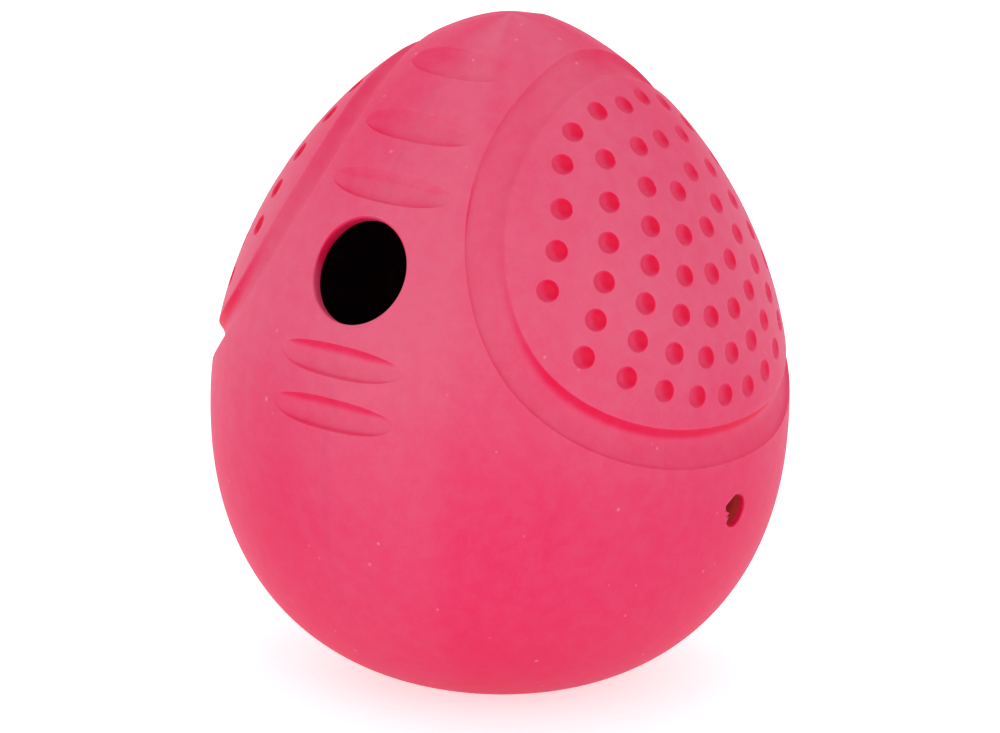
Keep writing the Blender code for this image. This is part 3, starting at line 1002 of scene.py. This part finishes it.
def rubber_material():
    """Deep pink rubber with a pale bloom."""
    material, tree, shader, vector = start_material("pink_rubber", rubber_values)
    ramp = tree.nodes.new("ShaderNodeValToRGB")
    stops = ramp.color_ramp.elements
    while len(stops) < len(painted_sheen_colours):
        stops.new(0.5)
    for stop, (position, colour) in zip(stops, painted_sheen_colours):
        stop.position, stop.color = position, (*colour, 1)
    tree.links.new(painted_sheen_on_rubber(tree, vector), ramp.inputs["Fac"])
    dots = place_group(tree, specks, vector, Scale=520, Size=0.22, Rarity=0.94)
    dots = add_math(tree, 'MULTIPLY', dots, speck_strength)
    tree.links.new(mix_colours(tree, dots, ramp.outputs["Color"], speck_pink), shader.inputs["Base Color"])
    grain = tree.nodes.new("ShaderNodeTexNoise")
    grain.inputs["Scale"].default_value, grain.inputs["Detail"].default_value = grain_scale, grain_detail
    tree.links.new(vector, grain.inputs["Vector"])
    add_bump(tree, shader, grain.outputs["Fac"], grain_strength, grain_height)
    return material


def shade_material(name, deep, pale, scale):
    """The same rubber painted darker as painted shade: inside the shell, and in the air hole's bore."""
    material, tree, shader, vector = start_material(name, {"Roughness": 0.8})
    uneven = place_group(tree, patches, vector, Scale=scale)
    tree.links.new(mix_colours(tree, uneven, deep, pale), shader.inputs["Base Color"])
    return material


rubber = rubber_material()
inner_shade_rubber = shade_material("inner_shade_rubber", inner_shade_red, inner_shade_red_pale, 90)
vent_shade_rubber = shade_material("vent_shade_rubber", vent_shade_red, vent_shade_red_pale, 400)
print("rubber finishes:", rubber.name, inner_shade_rubber.name, vent_shade_rubber.name)

# %% [markdown]
# ## The weight's metal
#
# The weight is closed into the base and never seen, so it is plain cast metal: two greys in soft
# patches, with a rougher speck here and there.

# %% The metal material
metal_grey, metal_grey_pale = (0.20, 0.20, 0.21, 1), (0.34, 0.33, 0.32, 1)
metal_roughness, speck_roughness, cast_strength, cast_height = 0.42, 0.2, 0.4, 0.3 * MM


def weight_material():
    """Cast grey metal for the weight that hides in the base."""
    material, tree, shader, vector = start_material("cast_metal", {"Metallic": 0.9})
    uneven = place_group(tree, patches, vector, Scale=160)
    tree.links.new(mix_colours(tree, uneven, metal_grey, metal_grey_pale), shader.inputs["Base Color"])
    dots = place_group(tree, specks, vector, Scale=900, Size=0.3, Rarity=0.6)
    rougher = add_math(tree, 'MULTIPLY', dots, speck_roughness)
    tree.links.new(add_math(tree, 'ADD', rougher, metal_roughness), shader.inputs["Roughness"])
    add_bump(tree, shader, uneven, cast_strength, cast_height)
    return material


cast_metal = weight_material()
for slot in bpy.data.objects["base_weight"].material_slots:
    slot.material = cast_metal
print("metal finish:", cast_metal.name)

# %% [markdown]
# ## Which face has which finish
#
# A face's depth under the smooth skin tells where it is. Deep faces are the inside of the shell and get its
# painted shade, the ones round the air hole below its lip get the bore's painted shade, and all others are
# the outside with its painted sheen.

# %% Finishes on the shells
# Faces round the air hole below its lip, which get the bore's painted shade, lie this near its middle and
# this deep.
vent_shade_reach, vent_shade_start = 5 * MM, 0.9 * MM
for skin in (left_skin, right_skin):
    skin.data.materials.clear()
    for material in (rubber, inner_shade_rubber, vent_shade_rubber):
        skin.data.materials.append(material)
    for polygon in skin.data.polygons:
        depth = skin_depth(polygon.center)
        in_vent = (polygon.center - vent_place).length < vent_shade_reach and vent_shade_start < depth < wall
        # Painted shade: deep faces get the dark inside colour, and the air hole's bore its deep red.
        polygon.material_index = 2 if in_vent else 1 if depth > inner_depth else 0
    indices = [polygon.material_index for polygon in skin.data.polygons]
    print(skin.name, "faces outside, inside and torn:", [indices.count(index) for index in range(3)])

# %% [markdown]
# ## The floor and the sky
#
# The egg stands on a white floor under a white sky. The floor glows a little by itself, like a light
# table, and a ray that shows a background sees floor and sky brighter still. So the picture's ground
# is white and keeps the egg's soft shadow, and the brighter background throws no light on the egg.

# %% The floor and the sky
floor_white, floor_glow, floor_background_glow, sky_level = (0.9, 0.9, 0.9, 1), 0.14, 0.46, 0.64
bpy.ops.object.select_all(action='DESELECT')
bpy.ops.mesh.primitive_plane_add(size=6)
floor = bpy.context.object
floor.name = "floor"


def seen_directly(tree):
    """1 for rays that show a background: from the camera, or by way of gloss or glass."""
    path = tree.nodes.new("ShaderNodeLightPath")
    seen = add_math(tree, 'MAXIMUM', path.outputs["Is Camera Ray"], path.outputs["Is Glossy Ray"])
    return add_math(tree, 'MAXIMUM', seen, path.outputs["Is Transmission Ray"])


def brighter_background(tree, plain, more, socket):
    """Feed a strength that is plain for the egg's light, and higher where a background shows."""
    extra = add_math(tree, 'MULTIPLY', seen_directly(tree), more)
    tree.links.new(add_math(tree, 'ADD', extra, plain), socket)


floor_paint = bpy.data.materials.new("floor_paint")
floor_paint.use_nodes = True
floor_shader = floor_paint.node_tree.nodes["Principled BSDF"]
for title, value in (("Base Color", floor_white), ("Roughness", 1.0), ("Specular IOR Level", 0.0),
                     ("Emission Color", (1, 1, 1, 1))):
    floor_shader.inputs[title].default_value = value
brighter_background(floor_paint.node_tree, floor_glow, floor_background_glow,
                    floor_shader.inputs["Emission Strength"])
floor.data.materials.append(floor_paint)

world = bpy.data.worlds.new("studio")
bpy.context.scene.world = world
world.use_nodes = True
sky = world.node_tree.nodes["Background"]
sky.inputs["Color"].default_value = (1, 1, 1, 1)
brighter_background(world.node_tree, sky_level, 1 - sky_level, sky.inputs["Strength"])
print("floor", round(floor.dimensions.x, 1), "m across, sky level", sky_level)

# %% [markdown]
# ## The lamps
#
# The photograph's light is soft and comes from all round, a little stronger from the right. Four wide
# square lamps give that: a small lamp would leave hard edges in the pits and on the troughs' lips.

# %% The lamps
lamp_aim = Vector((0, 0, 55 * MM))
# Name, degrees round to the right from the front, degrees up, distance and size in metres, and watts
lamps = (("right_lamp", 68, 16, 0.8, 0.6, 1.1), ("front_lamp", -11, 9, 0.8, 0.4, 0.85),
         ("left_lamp", -100, 30, 0.9, 0.6, 0.6), ("top_lamp", 200, 75, 0.9, 0.7, 1.0))


def direction_at(turn, rise):
    """The direction at one angle round to the right from the front, and another one up."""
    return Vector((math.sin(turn) * math.cos(rise), -math.cos(turn) * math.cos(rise), math.sin(rise)))


for name, turn, rise, distance, size, power in lamps:
    light = bpy.data.lights.new(name, 'AREA')
    light.size, light.energy = size, power
    lamp = bpy.data.objects.new(name, light)
    bpy.context.scene.collection.objects.link(lamp)
    arm = direction_at(math.radians(turn), math.radians(rise))
    lamp.location = lamp_aim + arm * distance
    lamp.rotation_euler = (-arm).to_track_quat('-Z', 'Y').to_euler()
print("lamps:", len(lamps))

# %% [markdown]
# ## The camera
#
# The camera's direction, distance, roll and lens were found by laying the egg's outline over the
# photograph's. It stands a little over a metre away and has a long lens, and looks at the egg from the
# right of the treat hole and slightly from above. The small shift slides the picture in its frame
# without turning the camera.

# %% The camera
camera_turn, camera_rise, camera_roll = math.radians(35.546), math.radians(16.511), math.radians(1.736)
camera_distance, camera_aim = 1.1151, Vector((0, 0, 54.5 * MM))
camera_data = bpy.data.cameras.new("camera")
camera_data.lens, camera_data.sensor_width = 247.74, 36
camera_data.shift_x, camera_data.shift_y = -0.00159, -0.02079
camera = bpy.data.objects.new("camera", camera_data)
bpy.context.scene.collection.objects.link(camera)
sight = direction_at(camera_turn, camera_rise)
camera.location = camera_aim + sight * camera_distance
aimed = (-sight).to_track_quat('-Z', 'Y')
camera.rotation_euler = (aimed @ Matrix.Rotation(camera_roll, 3, 'Z').to_quaternion()).to_euler()
bpy.context.scene.camera = camera
bpy.context.scene.view_settings.view_transform = 'Standard'
print("camera at", [round(place, 3) for place in camera.location])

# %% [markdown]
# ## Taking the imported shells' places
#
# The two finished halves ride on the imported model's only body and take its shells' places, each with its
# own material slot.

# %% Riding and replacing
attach(left_skin, "root")
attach(right_skin, "root")
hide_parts("left_shell")
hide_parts("right_shell")
